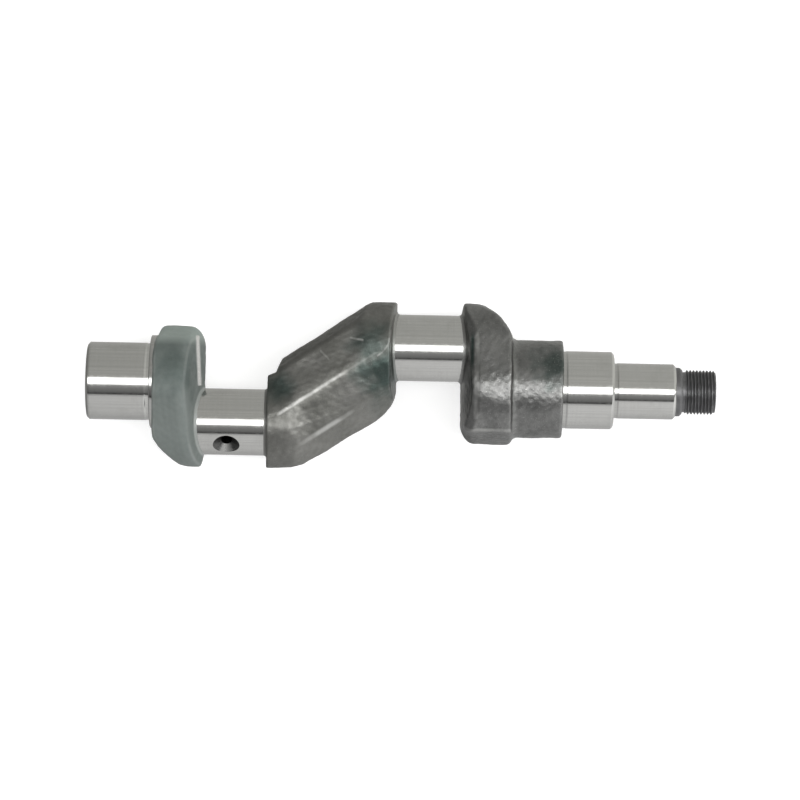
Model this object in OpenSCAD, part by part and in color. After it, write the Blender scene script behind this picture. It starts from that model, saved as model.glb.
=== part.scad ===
// Two-throw crankshaft of a small twin-cylinder engine or air compressor.
// One steel forging, ground on its journals, with two opposed crankpins joined by a slanted
// middle web. The forging is drawn as its named regions, which meet face to face.
// +X runs along the crank axis to the threaded end. Crankpin 1 is thrown to -Y, crankpin 2 to +Y.
// The origin is the middle of the left main journal, on the crank axis.

/* [Main journals] */
// Diameter of both main journals
main_d = 35; // [33:0.5:36]
// Length of the left main journal
left_main_len = 29; // [24:0.5:34]
// Length of the right main journal
right_main_len = 23; // [18:0.5:28]

/* [Crankpins] */
// Diameter of both crankpins
pin_d = 30; // [28:0.5:32]
// Length of each crankpin between the webs
pin_len = 28; // [24:0.5:32]
// Distance from the crank axis to a crankpin's axis, half the piston stroke
throw = 17.5; // [16:0.5:19]
// Angle of a crankpin's oil hole, from the throw towards the side
oil_hole_lead = 46; // [30:1:60]
// Diameter of a crankpin's oil hole
oil_hole_d = 5; // [4:0.5:6]
// Diameter of the oil hole's countersink at the pin's surface
countersink_d = 12; // [9:0.5:13]
// Distance from a crankpin's middle to its oil hole, towards the outer web
oil_hole_shift = 3.6; // [0:0.1:5]

/* [Outer webs] */
// Thickness of the left and right webs
web_t = 24; // [22:0.5:26]
// Radius of a web's lobe about its crankpin
lobe_r = 20.6; // [20:0.1:22]
// Radius of the counterweight about the crank axis
counter_r = 25.6; // [24:0.1:27]
// Setback of a web's inner face at the height of its side, by forging draft
inner_draft = 6.2; // [3:0.1:8]
// Setback of a web's outer face at the height of its side
outer_draft = 1.6; // [1:0.1:3]

/* [Middle web] */
// Length of the middle web along the crank axis
middle_t = 59; // [56:0.5:62]
// Half the width of the slanted arm, seen from the side it is forged from
arm_half_width = 22.6; // [21:0.1:24]
// Angle of the slanted arm to the crank axis
arm_angle = 33.3; // [31:0.1:35]
// Height of the arm's crest above the forging's parting plane
crest_h = 20.6; // [19:0.1:22]

/* [Hub and drive end] */
// Diameter of the as-forged hub
hub_d = 44; // [42:0.5:46]
// Length of the hub
hub_len = 22; // [18:0.5:26]
// Diameter of the drive seat
seat_d = 25; // [24.5:0.5:27]
// Length of the drive seat
seat_len = 28; // [24:0.5:32]
// Diameter of the neck between the seat and the thread
neck_d = 22; // [21:0.5:23]
// Length of the neck
neck_len = 3; // [2:0.5:4]
// Outer diameter of the thread
thread_d = 20; // [18:1:20]
// Pitch of the thread
thread_pitch = 1.5; // [1:0.25:2]
// Length of the threaded end
thread_len = 15; // [12:0.5:18]
// Width of the keyway in the drive seat
key_w = 6; // [5:0.5:7]
// Depth of the keyway below the seat's surface
key_depth = 6.5; // [5:0.5:7]

/* [Oil ways] */
// Diameter of the oil feed bore in the left end
feed_d = 8; // [6:0.5:9]
// Diameter of the counterbore for the oil quill
quill_d = 12; // [10:0.5:13]
// Depth of the counterbore for the oil quill
quill_depth = 10; // [8:0.5:12]
// Diameter of the inclined oil galleries
gallery_d = 6; // [4:0.5:6]
// Diameter of the screw plugs that close the galleries
plug_d = 10; // [9:0.5:11]
// Length of a screw plug
plug_len = 7; // [6:0.5:8]

/* [Hidden] */
$fn = 96;

// Stations along the crank axis
collar_proud = 0.5;                  // how far the left bearing's shoulder stands out of its web
x_left_end = -left_main_len / 2;
x_left_web = left_main_len / 2;
x_shoulder = x_left_web - collar_proud;
x_pin_1 = x_left_web + web_t;
x_middle = x_pin_1 + pin_len;
x_centre = x_middle + middle_t / 2;
x_pin_2 = x_middle + middle_t;
x_right_web = x_pin_2 + pin_len;
x_hub = x_right_web + web_t;
x_right_main = x_hub + hub_len;
x_seat = x_right_main + right_main_len;
x_neck = x_seat + seat_len;
x_thread = x_neck + neck_len;
x_right_end = x_thread + thread_len;
pin_offset = middle_t / 2 + pin_len / 2;   // from the crank's centre to a crankpin's middle

// Sizes that follow from the driving ones
main_r = main_d / 2;
pin_r = pin_d / 2;
hub_r = hub_d / 2;
seat_r = seat_d / 2;
neck_r = neck_d / 2;
thread_r = thread_d / 2;
lobe_top = throw + lobe_r;           // farthest reach of a web from the crank axis
web_z = counter_r + 1;               // half height that clears every web
clear = 60;                          // length that passes right through a web
join_bite = 0.05;                    // how far the tangents cut into the circles they join
collar_r = 21;                       // radius of the left bearing's shoulder
collar_edge = 0.3;                   // chamfer on it
split_y = -8;                        // where a web ends and its counterweight begins
edge = 1;                            // chamfer on the ends of the journals
undercut_w = 2;                      // grinding relief beside a shoulder
undercut_depth = 0.35;
bevel_r = 31.25;                     // radius of the lobe's outer bevel, seen square to the throws
bevel_x = -5.4;                      // centre of that bevel, from the web's inner face
bevel_y = lobe_top - 27.7;           // and from the crank axis
bevel_from = 6;                      // the bevel starts beyond this distance from the crank axis
flare = 2.6;                         // forged radius where the hub leaves its web
shoulder = 1.5;                      // corner of the lobe next to the crankpin
counter_edge = 7.5;                  // rounding of the counterweight's inner corner
counter_cut = 2.6;                   // chamfer of the counterweight's outer corner
end_draft = 2.2;                     // setback of the middle web's end faces
slope_w = 14.4;                      // distance from the arm's crest to the break in its slope
slope_h = 16.4;                      // height of the arm at that break
rim_h = 6;                           // height of the arm's upright rim
thread_depth = 0.613 * thread_pitch;
key_disc_d = 22;                     // diameter of the keyway's disc-shaped floor
centre_d = 6;                        // mouth of the lathe centre in the right end, a 60 degree cone
centre_drill_r = 0.9;                // pilot hole at the centre's tip
centre_depth = 7.5;
feed_chamfer = 1.2;
feed_end = x_left_web + 0.27 * web_t;    // where the first gallery meets the feed bore
gallery_1_angle = -atan(throw / (x_pin_1 + pin_len / 2 - feed_end));
gallery_2_angle = atan(throw / pin_offset);
gallery_1_reach = 71.6;              // from the feed bore to the first gallery's mouth
gallery_2_reach = 82;                // from the crank's centre to the second gallery's mouth
gallery_2_back = pin_offset / cos(gallery_2_angle) + gallery_d / 2;    // it starts in crankpin 1
socket_af = 5;                       // width across flats of a plug's hexagon socket
socket_depth = 4;
plug_gap = 0.05;                     // clearance round a plug's thread
seat_gap = 0.2;                      // clearance under a plug
plug_sink = 3.2;                     // depth of a plug below the middle of its mouth
steel = [0.80, 0.80, 0.78];
forged = [0.36, 0.40, 0.38];
blackened = [0.15, 0.15, 0.16];
plug_steel = [0.45, 0.44, 0.42];

// A solid turned about the crank axis from [x, radius] points
module turned(points) {
    rotate([90, 0, 90])
        rotate_extrude()
            polygon([for (p = points) [p[1], p[0]]]);
}

// A round bar along +X from x, at height y above the crank axis
module bar(x, length, r, y = 0) {
    translate([x, y, 0])
        rotate([0, 90, 0])
            cylinder(h = length, r = r);
}

// Stands a 2-D outline of (Y, Z) up and extrudes it along +X
module along_x(length) {
    rotate([90, 0, 90])
        linear_extrude(height = length)
            children();
}

// Egg-shaped bar: a large round about the crank axis, a small one at y_b and their tangents
module egg_bar(length, r_a, r_b, y_b) {
    c = (r_a - r_b) / y_b;
    s = sqrt(1 - c * c);
    a = r_a - join_bite;
    b = r_b - join_bite;
    bar(0, length, r_a);
    bar(0, length, r_b, y_b);
    along_x(length)
        polygon([[a * c, a * s], [y_b + b * c, b * s], [y_b + b * c, -b * s], [a * c, -a * s]]);
}

// Extrudes a 2-D outline of (X, Z) along Y, both ways
module along_y(reach) {
    translate([0, reach, 0])
        rotate([90, 0, 0])
            linear_extrude(height = 2 * reach)
                children();
}

// Outer web with its inner face at x = 0, its outer face at x = web_t and its lobe towards +Y
module web_plan() {
    intersection() {
        polygon([[0, -counter_r + 1.7 * counter_edge],
                 [0.3 * counter_edge, -counter_r + 0.55 * counter_edge],
                 [counter_edge, -counter_r], [web_t - counter_cut, -counter_r],
                 [web_t, -counter_r + counter_cut * 2], [web_t, lobe_top], [shoulder, lobe_top],
                 [0, lobe_top - shoulder * 3]]);
        union() {
            translate([bevel_x, bevel_y])
                circle(r = bevel_r, $fn = 128);
            translate([-1, -counter_r - 1])
                square([web_t + 2, counter_r + 1 + bevel_from]);
        }
    }
}

module web_draft() {
    polygon([[0, 0], [inner_draft, web_z], [web_t - outer_draft, web_z], [web_t, 0],
             [web_t - outer_draft, -web_z], [inner_draft, -web_z]]);
}

module outer_web_blank() {
    intersection() {
        translate([0, 0, -web_z])
            linear_extrude(height = 2 * web_z)
                web_plan();
        egg_bar(web_t, counter_r, lobe_r, throw);
        along_y(clear)
            web_draft();
    }
}

module left_web_blank() {
    translate([x_pin_1, 0, 0])
        rotate([0, 0, 180])
            outer_web_blank();
}

module right_web_blank() {
    translate([x_right_web, 0, 0])
        outer_web_blank();
}

// Slanted middle web about its own centre: its plan, its roof-shaped arm and its two lobes.
// The plan is one long side, from lobe 2's crown to lobe 1's heel, and its half turn.
module middle_plan() {
    half = middle_t / 2;
    side = [[half, lobe_top], [half - 12, lobe_top - 0.4], [half - 15, lobe_top - 1.7],
            [10 - half, 13.6], [6.8 - half, 11.6], [5 - half, 8.2], [4 - half, 5.4], [-half, 3.6]];
    polygon([each side, for (p = side) -p]);
}

module arm_section() {
    polygon([[0, crest_h], [slope_w, slope_h], [arm_half_width, rim_h], [arm_half_width, -rim_h],
             [slope_w, -slope_h], [0, -crest_h], [-slope_w, -slope_h], [-arm_half_width, -rim_h],
             [-arm_half_width, rim_h], [-slope_w, slope_h]]);
}

module lobe_outline() {
    translate([throw, 0])
        circle(r = lobe_r);
    translate([-throw, 0])
        circle(r = lobe_r);
    square([2 * throw, 2 * lobe_r], center = true);
}

module end_draft_outline() {
    half = middle_t / 2;
    polygon([[-half, 0], [-half + end_draft, web_z], [half - end_draft, web_z], [half, 0],
             [half - end_draft, -web_z], [-half + end_draft, -web_z]]);
}

module middle_web_blank() {
    translate([x_centre, 0, 0])
        intersection() {
            translate([0, 0, -web_z])
                linear_extrude(height = 2 * web_z)
                    middle_plan();
            rotate([0, 0, arm_angle])
                translate([-clear, 0, 0])
                    along_x(2 * clear)
                        arm_section();
            translate([-middle_t / 2, 0, 0])
                along_x(middle_t)
                    lobe_outline();
            along_y(clear)
                end_draft_outline();
        }
}

// Oil feed bore in the left end, with the quill's counterbore and a centring chamfer
module feed_bore() {
    mouth_r = quill_d / 2 + feed_chamfer;
    turned([[x_left_end - 1, 0], [x_left_end - 1, mouth_r + 1], [x_left_end, mouth_r],
            [x_left_end + feed_chamfer, quill_d / 2], [x_left_end + quill_depth, quill_d / 2],
            [x_left_end + quill_depth, feed_d / 2], [feed_end, feed_d / 2],
            [feed_end + feed_d / 2, 0]]);
}

// Two galleries drilled in the throws' plane, each aimed through a crankpin's axis
module gallery(x, angle, back, reach) {
    translate([x, 0, 0])
        rotate([0, 0, angle]) {
            bar(-back, back + reach + clear, gallery_d / 2);
            bar(reach - plug_len - plug_sink, clear, plug_d / 2);
        }
}

module galleries() {
    gallery(feed_end, gallery_1_angle, 0, gallery_1_reach);
    gallery(x_centre, gallery_2_angle, gallery_2_back, gallery_2_reach);
}

// Oil hole of a crankpin with its 90 degree countersink; way is 1 for crankpin 2 and -1 for 1
module oil_hole(way) {
    mouth_r = countersink_d / 2;
    translate([x_centre + way * (pin_offset + oil_hole_shift), way * throw, 0])
        rotate([way > 0 ? -90 - oil_hole_lead : 90 - oil_hole_lead, 0, 0]) {
            translate([0, 0, -1])
                cylinder(h = pin_r + 2, r = oil_hole_d / 2);
            translate([0, 0, pin_r - mouth_r])
                cylinder(h = mouth_r + 1, r1 = 0, r2 = mouth_r + 1);
        }
}

module crankpin_blank(x, y) {
    bar(x - web_t / 2, pin_len + web_t, pin_r, y);
}

// Screw plug with a hexagon socket in its outer end
module screw_plug(x, angle, reach) {
    length = plug_len - seat_gap;
    translate([x, 0, 0])
        rotate([0, 0, angle])
            difference() {
                bar(reach - plug_sink - length, length, plug_d / 2 - plug_gap);
                translate([reach - plug_sink - socket_depth, 0, 0])
                    rotate([0, 90, 0])
                        cylinder(h = socket_depth + 1, r = socket_af / sqrt(3), $fn = 6);
            }
}

// Block beyond the plane where a web's counterweight begins; way is 1 for the right web, whose
// counterweight is on the -Y side, and -1 for the left web
module beyond(x, way) {
    translate([x - 5, way > 0 ? split_y - 2 * clear : -split_y, -clear / 2])
        cube([web_t + 10, 2 * clear, clear]);
}

module left_main_journal() {
    color(steel)
        difference() {
            turned([[x_left_end, 0], [x_left_end, main_r - edge], [x_left_end + edge, main_r],
                    [x_shoulder - undercut_w, main_r],
                    [x_shoulder - undercut_w + 0.5, main_r - undercut_depth],
                    [x_left_web + outer_draft, main_r - undercut_depth], [x_left_web + outer_draft, 0]]);
            left_web_blank();
            feed_bore();
        }
}

// Flat ground shoulder for the left bearing, on the web's drafted face
module left_thrust_collar() {
    color(steel)
        difference() {
            turned([[x_shoulder, 0], [x_shoulder, collar_r - collar_edge],
                    [x_shoulder + collar_edge, collar_r],
                    [x_left_web + outer_draft, collar_r], [x_left_web + outer_draft, 0]]);
            left_web_blank();
            bar(x_shoulder - 1, web_t, main_r - undercut_depth);
        }
}

module left_web() {
    color(forged)
        difference() {
            left_web_blank();
            feed_bore();
            galleries();
            beyond(x_left_web, -1);
        }
}

module left_counterweight() {
    color(forged)
        difference() {
            intersection() {
                left_web_blank();
                beyond(x_left_web, -1);
            }
            feed_bore();
        }
}

module crankpin_1() {
    color(steel)
        difference() {
            crankpin_blank(x_pin_1, -throw);
            left_web_blank();
            middle_web_blank();
            galleries();
            oil_hole(-1);
        }
}

module middle_web() {
    color(forged)
        difference() {
            middle_web_blank();
            galleries();
        }
}

module crankpin_2() {
    color(steel)
        difference() {
            crankpin_blank(x_pin_2, throw);
            right_web_blank();
            middle_web_blank();
            galleries();
            oil_hole(1);
        }
}

module right_web() {
    color(forged)
        difference() {
            right_web_blank();
            galleries();
            beyond(x_right_web, 1);
        }
}

module right_counterweight() {
    color(forged)
        intersection() {
            right_web_blank();
            beyond(x_right_web, 1);
        }
}

module hub() {
    color(forged)
        difference() {
            turned([[x_hub - outer_draft, 0], [x_hub - outer_draft, hub_r + flare],
                    [x_hub, hub_r + flare], [x_hub + flare, hub_r], [x_right_main - edge, hub_r],
                    [x_right_main, hub_r - edge], [x_right_main, 0]]);
            right_web_blank();
        }
}

module right_main_journal() {
    color(steel)
        turned([[x_right_main, 0], [x_right_main, main_r - undercut_depth],
                [x_right_main + undercut_w - 0.5, main_r - undercut_depth],
                [x_right_main + undercut_w, main_r],
                [x_seat - edge, main_r], [x_seat, main_r - edge], [x_seat, 0]]);
}

module drive_seat() {
    color(steel)
        difference() {
            turned([[x_seat, 0], [x_seat, seat_r - undercut_depth],
                    [x_seat + undercut_w - 0.5, seat_r - undercut_depth], [x_seat + undercut_w, seat_r],
                    [x_neck - edge, seat_r], [x_neck, seat_r - edge], [x_neck, 0]]);
            translate([x_seat + seat_len / 2, 0, -(seat_r - key_depth + key_disc_d / 2)])
                rotate([90, 0, 0])
                    cylinder(h = key_w, r = key_disc_d / 2, center = true);
        }
}

module thread_neck() {
    color(blackened)
        turned([[x_neck, 0], [x_neck, neck_r], [x_thread - edge, neck_r],
                [x_thread, neck_r - edge], [x_thread, 0]]);
}

// Lathe centre in the right end
module lathe_centre() {
    cone = (centre_d / 2 - centre_drill_r) * sqrt(3);
    turned([[x_right_end + 1, 0], [x_right_end + 1, centre_d / 2 + 1 / sqrt(3)],
            [x_right_end - cone, centre_drill_r], [x_right_end - centre_depth + 0.5, centre_drill_r],
            [x_right_end - centre_depth, 0]]);
}

// Thread with a ring for each turn and a run-out groove
module threaded_end() {
    root = thread_r - thread_depth;
    first = x_thread + thread_pitch;
    turns = floor((thread_len - 2 * thread_pitch) / thread_pitch);
    grooves = [for (i = [0:turns - 1]) each [
        [first + (i + 0.10) * thread_pitch, thread_r], [first + (i + 0.45) * thread_pitch, root],
        [first + (i + 0.60) * thread_pitch, root], [first + (i + 0.95) * thread_pitch, thread_r]]];
    color(blackened)
        difference() {
            turned(concat([[x_thread, 0], [x_thread, root], [first - 0.5, root]], grooves,
                          [[x_right_end - edge, thread_r], [x_right_end, thread_r - edge],
                           [x_right_end, 0]]));
            lathe_centre();
        }
}

module gallery_plug_1() {
    color(plug_steel)
        screw_plug(feed_end, gallery_1_angle, gallery_1_reach);
}

module gallery_plug_2() {
    color(plug_steel)
        screw_plug(x_centre, gallery_2_angle, gallery_2_reach);
}

left_main_journal();
left_thrust_collar();
left_web();
left_counterweight();
crankpin_1();
middle_web();
crankpin_2();
right_web();
right_counterweight();
hub();
right_main_journal();
drive_seat();
thread_neck();
threaded_end();
gallery_plug_1();
gallery_plug_2();
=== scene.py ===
import math
import bmesh
import bpy
import numpy as np
from mathutils import Matrix, Vector
from mathutils.kdtree import KDTree


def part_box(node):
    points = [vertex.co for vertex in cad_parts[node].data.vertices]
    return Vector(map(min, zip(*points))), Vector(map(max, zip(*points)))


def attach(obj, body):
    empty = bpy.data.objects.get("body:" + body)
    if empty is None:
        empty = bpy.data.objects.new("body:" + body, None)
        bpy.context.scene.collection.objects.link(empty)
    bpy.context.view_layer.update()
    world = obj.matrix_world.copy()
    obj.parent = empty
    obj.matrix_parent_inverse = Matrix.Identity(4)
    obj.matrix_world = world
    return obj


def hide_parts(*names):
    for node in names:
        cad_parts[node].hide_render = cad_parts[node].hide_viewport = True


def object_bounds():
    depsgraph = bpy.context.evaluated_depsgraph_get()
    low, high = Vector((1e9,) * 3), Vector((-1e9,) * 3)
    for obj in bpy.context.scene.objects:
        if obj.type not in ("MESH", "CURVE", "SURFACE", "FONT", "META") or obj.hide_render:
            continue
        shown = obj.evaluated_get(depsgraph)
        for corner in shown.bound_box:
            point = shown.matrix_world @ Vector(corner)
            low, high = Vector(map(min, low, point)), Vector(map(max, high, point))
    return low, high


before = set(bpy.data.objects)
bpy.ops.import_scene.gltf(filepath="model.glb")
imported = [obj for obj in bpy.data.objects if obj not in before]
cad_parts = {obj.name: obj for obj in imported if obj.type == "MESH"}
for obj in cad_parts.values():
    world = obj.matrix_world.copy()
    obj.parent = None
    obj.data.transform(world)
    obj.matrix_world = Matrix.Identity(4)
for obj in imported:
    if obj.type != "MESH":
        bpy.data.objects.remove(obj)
cad_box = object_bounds()

# Lengths below are millimetres unless a name ends in _M; meshes are scaled by MM when they are made.
MM = 0.001


# ---------------------------------------- places and sizes, from the frame

def span(node):
    """Lowest and highest corner of a CAD node, in millimetres."""
    low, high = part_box(node)
    return np.array(low) / MM, np.array(high) / MM


def node_radius(node, x_low, x_high, y_axis=0.0):
    """Largest distance from the axis at y_axis of a CAD node's corners between two stations."""
    corners = np.array([v.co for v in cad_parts[node].data.vertices]) / MM
    near = (corners[:, 0] > x_low) & (corners[:, 0] < x_high)
    return float(np.hypot(corners[near, 1] - y_axis, corners[near, 2]).max())


def middle_of(node):
    """Middle of a CAD node's box."""
    low, high = span(node)
    return (low + high) / 2


LEFT_END = span("left_main_journal")[0][0]
SHOULDER = span("left_thrust_collar")[0][0]
COLLAR_R = span("left_thrust_collar")[1][1]
LEFT_WEB, PIN_1 = span("left_web")[0][0], span("left_web")[1][0]
MIDDLE, PIN_2 = span("middle_web")[0][0], span("middle_web")[1][0]
RIGHT_WEB, HUB = span("right_web")[0][0], span("right_web")[1][0]
RIGHT_MAIN, SEAT = span("right_main_journal")[0][0], span("right_main_journal")[1][0]
NECK, THREAD = span("drive_seat")[1][0], span("threaded_end")[0][0]
RIGHT_END = span("threaded_end")[1][0]
CENTRE = (MIDDLE + PIN_2) / 2
HALF = (PIN_2 - MIDDLE) / 2
WEB_T = PIN_1 - LEFT_WEB
PIN_R = span("crankpin_1")[1][2]
THROW = middle_of("crankpin_2")[1]
MAIN_R = span("right_main_journal")[1][2]
SEAT_R = span("drive_seat")[1][2]
NECK_R = span("thread_neck")[1][2]
THREAD_R = span("threaded_end")[1][2]
COUNTER_R = span("left_counterweight")[1][1]
LOBE_TOP = span("right_web")[1][1]
LOBE_R = LOBE_TOP - THROW
CREST_H = span("middle_web")[1][2]
HUB_R = node_radius("hub", (HUB + RIGHT_MAIN) / 2, RIGHT_MAIN)
LOWEST_M = cad_box[0][2]


# ---------------------------------------- mesh helpers

def new_object(name, verts, faces, materials, sharp=30.0):
    """A smooth-shaded mesh from millimetre corners, with edges over the sharp angle kept crisp."""
    mesh = bpy.data.meshes.new(name)
    mesh.from_pydata((np.asarray(verts) * MM).tolist(), [], [list(f) for f in faces])
    mesh.validate()
    for material in materials:
        mesh.materials.append(material)
    piece = bpy.data.objects.new(name, mesh)
    bpy.context.scene.collection.objects.link(piece)
    finish_mesh(piece, sharp)
    return piece


def finish_mesh(piece, sharp):
    """Welds a mesh, turns its faces outwards and marks its sharp edges."""
    bm = bmesh.new()
    bm.from_mesh(piece.data)
    bmesh.ops.remove_doubles(bm, verts=bm.verts, dist=1e-7)
    bmesh.ops.recalc_face_normals(bm, faces=bm.faces)
    limit = math.radians(sharp)
    for face in bm.faces:
        face.smooth = True
    for edge in bm.edges:
        edge.smooth = not (len(edge.link_faces) == 2 and edge.calc_face_angle() > limit)
    bm.to_mesh(piece.data)
    bm.free()


def lathe(profile, y_axis=0.0, segments=160, closed=False, radial=None):
    """Corners and faces of [x, radius] points turned about the axis at y_axis."""
    rings = []
    verts = []
    angles = np.linspace(0, 2 * math.pi, segments, endpoint=False)
    for x, r in profile:
        if r < 1e-6:
            rings.append([len(verts)])
            verts.append((x, y_axis, 0.0))
            continue
        rings.append(list(range(len(verts), len(verts) + segments)))
        for a in angles:
            reach = r + (radial(x, a, r) if radial else 0.0)
            verts.append((x, y_axis + reach * math.cos(a), reach * math.sin(a)))
    pairs = list(zip(rings[:-1], rings[1:]))
    if closed:
        pairs.append((rings[-1], rings[0]))
    faces = []
    for one, two in pairs:
        for i in range(segments):
            j = (i + 1) % segments
            if len(one) == 1 and len(two) == 1:
                break
            if len(one) == 1:
                faces.append((one[0], two[i], two[j]))
            elif len(two) == 1:
                faces.append((one[i], one[j], two[0]))
            else:
                faces.append((one[i], one[j], two[j], two[i]))
    return np.array(verts), faces


def run(x_0, x_1, r, step):
    """Points along a straight stretch of a profile, so that its rings stay close together."""
    count = max(1, int(round(abs(x_1 - x_0) / step)))
    return [(x_0 + (x_1 - x_0) * i / count, r) for i in range(count + 1)]


def cut(piece, verts, faces, material):
    """Subtracts a closed solid from a piece; the cut faces take the given material."""
    cutter = new_object("cutter", verts, faces, [material])
    piece.data.materials.append(material)
    modifier = piece.modifiers.new("cut", "BOOLEAN")
    modifier.operation = "DIFFERENCE"
    modifier.solver = "EXACT"
    modifier.object = cutter
    if hasattr(modifier, "material_mode"):
        modifier.material_mode = "TRANSFER"
    shown = bpy.context.evaluated_depsgraph_get()
    mesh = bpy.data.meshes.new_from_object(piece.evaluated_get(shown))
    piece.modifiers.remove(modifier)
    old = piece.data
    piece.data = mesh
    bpy.data.meshes.remove(old)
    bpy.data.objects.remove(cutter)
    finish_mesh(piece, 30.0)


# ---------------------------------------- forged shapes as implicit surfaces

def smax(a, b, k):
    """Intersection of two distance fields with its edge rounded over about k."""
    h = np.maximum(k - np.abs(a - b), 0.0) / k
    return np.maximum(a, b) + h * h * k / 4


def smin(a, b, k):
    """Union of two distance fields with its inner corner filled over about k."""
    return -smax(-a, -b, k)


def soft_abs(a, e):
    """Absolute value with its corner rounded over about e."""
    return np.sqrt(a * a + e * e) - e


class Waves:
    """Smooth seeded noise: a sum of sine waves of one typical length in random directions."""

    def __init__(self, seed, length, height, count=22):
        rng = np.random.default_rng(seed)
        way = rng.normal(size=(count, 3))
        way /= np.linalg.norm(way, axis=1)[:, None]
        self.k = way * (2 * math.pi / (length * rng.uniform(0.7, 1.5, count)))[:, None]
        self.phase = rng.uniform(0, 2 * math.pi, count)
        self.height = height * math.sqrt(2.0 / count)

    def __call__(self, p):
        return self.height * np.sin(p @ self.k.T + self.phase).sum(axis=1)


def surface_net(field, low, high, step):
    """Quads round the zero surface of a field, one corner in each grid cell that it crosses."""
    axes = [np.arange(low[i] - 1.5 * step, high[i] + 2.5 * step, step) for i in range(3)]
    grid = np.stack(np.meshgrid(*axes, indexing="ij"), axis=-1)
    shape = grid.shape[:3]
    value = field(grid.reshape(-1, 3)).reshape(shape)
    cells = tuple(n - 1 for n in shape)
    total = np.zeros(cells + (3,))
    count = np.zeros(cells)
    crossings = []
    for axis in range(3):
        a = [slice(None)] * 3
        b = [slice(None)] * 3
        a[axis], b[axis] = slice(0, -1), slice(1, None)
        va, vb = value[tuple(a)], value[tuple(b)]
        crossed = (va < 0) != (vb < 0)
        t = np.where(crossed, va / np.where(va == vb, 1, va - vb), 0)
        point = grid[tuple(a)] + (grid[tuple(b)] - grid[tuple(a)]) * t[..., None]
        others = [i for i in range(3) if i != axis]
        for di in (0, 1):
            for dj in (0, 1):
                part = [slice(None)] * 3
                part[others[0]] = slice(di, di + cells[others[0]])
                part[others[1]] = slice(dj, dj + cells[others[1]])
                part = tuple(part)
                total += np.where(crossed[part][..., None], point[part], 0)
                count += crossed[part]
        crossings.append((axis, others, np.argwhere(crossed), va))
    active = count > 0
    index = np.full(cells, -1)
    index[active] = np.arange(active.sum())
    verts = total[active] / count[active][:, None]
    quads = []
    for axis, others, where, va in crossings:
        inner = np.all([(where[:, o] > 0) & (where[:, o] < cells[o]) for o in others], axis=0)
        where = where[inner]
        ring = []
        for di, dj in ((1, 1), (0, 1), (0, 0), (1, 0)):
            cell = where.copy()
            cell[:, others[0]] -= di
            cell[:, others[1]] -= dj
            ring.append(index[cell[:, 0], cell[:, 1], cell[:, 2]])
        ring = np.stack(ring, axis=1)
        inside = va[where[:, 0], where[:, 1], where[:, 2]] < 0
        flip = inside if axis != 1 else ~inside
        ring[flip] = ring[flip][:, ::-1]
        quads.append(ring)
    return verts, np.concatenate(quads)


def settle(verts, field, rounds=3, reach=0.6):
    """Moves corners onto the zero surface of a field, along its slope."""
    e = 0.02
    for _ in range(rounds):
        slope = np.stack([(field(verts + d) - field(verts - d)) / (2 * e)
                          for d in np.eye(3) * e], axis=1)
        size = np.maximum((slope ** 2).sum(axis=1), 0.05)
        move = slope * (field(verts) / size)[:, None]
        length = np.linalg.norm(move, axis=1)[:, None]
        verts = verts - move * np.minimum(1, reach / np.maximum(length, 1e-9))
    return verts


def paint(piece, name, values):
    """Stores one number for each corner, for the materials to read."""
    layer = piece.data.attributes.new(name, "FLOAT", "POINT")
    layer.data.foreach_set("value", np.asarray(values, dtype=np.float32))


def corners_mm(piece):
    """A piece's corners, in millimetres."""
    flat = np.empty(len(piece.data.vertices) * 3)
    piece.data.vertices.foreach_get("co", flat)
    return flat.reshape(-1, 3) / MM


# ---------------------------------------- the forging's shapes

# Outer webs, measured from the inner face towards the outer one and from the crank axis. An inner
# face has a draft, a height where the draft grows, the draft above it, and the width and the
# rounding of the band between the face and the rim.
LEFT_FACE = (0.29, 40.0, 0.29, 2.0, 2.4)
RIGHT_FACE = (0.13, 14.0, 0.36, 2.4, 0.6)
CROWN_BAND = 0.4            # the band's width at the lobe's crown, and the height over which it fades
CROWN_FADE = 9.0
OUTER_SLOPE = 0.06          # draft of the outer face
BEVEL = (-5.4, 10.4, 31.25)  # centre and radius of the lobe's outer bevel
CROWN_CUT = (0.27, 1.3)     # slope and width of the cut across the lobe's inner corner
LEFT_LEAN, RIGHT_LEAN = 22.6, 26.0  # where each counterweight's outer face leans in, LEAN_FROM down
LEAN_FROM = 17.0
LEAN_NORMAL = (0.957, -0.29)
HEEL_R = 11.0               # rounding of the counterweight's inner corner along its height
HEEL_STRETCH = 1.45         # how much shorter that rounding is along the crank's length
HEEL_DRAFT = 0.39           # slope of the counterweight's lower side

# Middle web, measured from its centre and from the arm's crest.
ARM_ANGLE = math.radians(33.3)
ARM_SLOPE = 0.29            # fall of the roof on both sides of the crest
CREST_SHIFT = 1.8           # the crest lies this far towards crankpin 2's side
UPPER_BREAK = 16.7          # where the steeper side begins on crankpin 2's side: distance from the
UPPER_BREAK_H = 15.8        # crest and height, and the side's normal across the arm and upwards
UPPER_NORMAL = (0.923, 0.385)
LOWER_BREAK = 16.4          # the same on crankpin 1's side
LOWER_BREAK_H = 15.9
LOWER_NORMAL = (0.777, 0.630)
CHEEK_FROM = 17.8           # the arm is cut away beyond this distance from the centre
CHEEK_HEIGHT = 18.6         # height of the arm's left cheek where it starts, on the crank axis
CHEEK_NORMAL = (-0.45, 0.15, 0.88)
END_SLOPES = (0.03, 0.15)   # draft of the left and right ends
END_DRESSED = 0.9           # the right end stands this far inside the web's length

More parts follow.
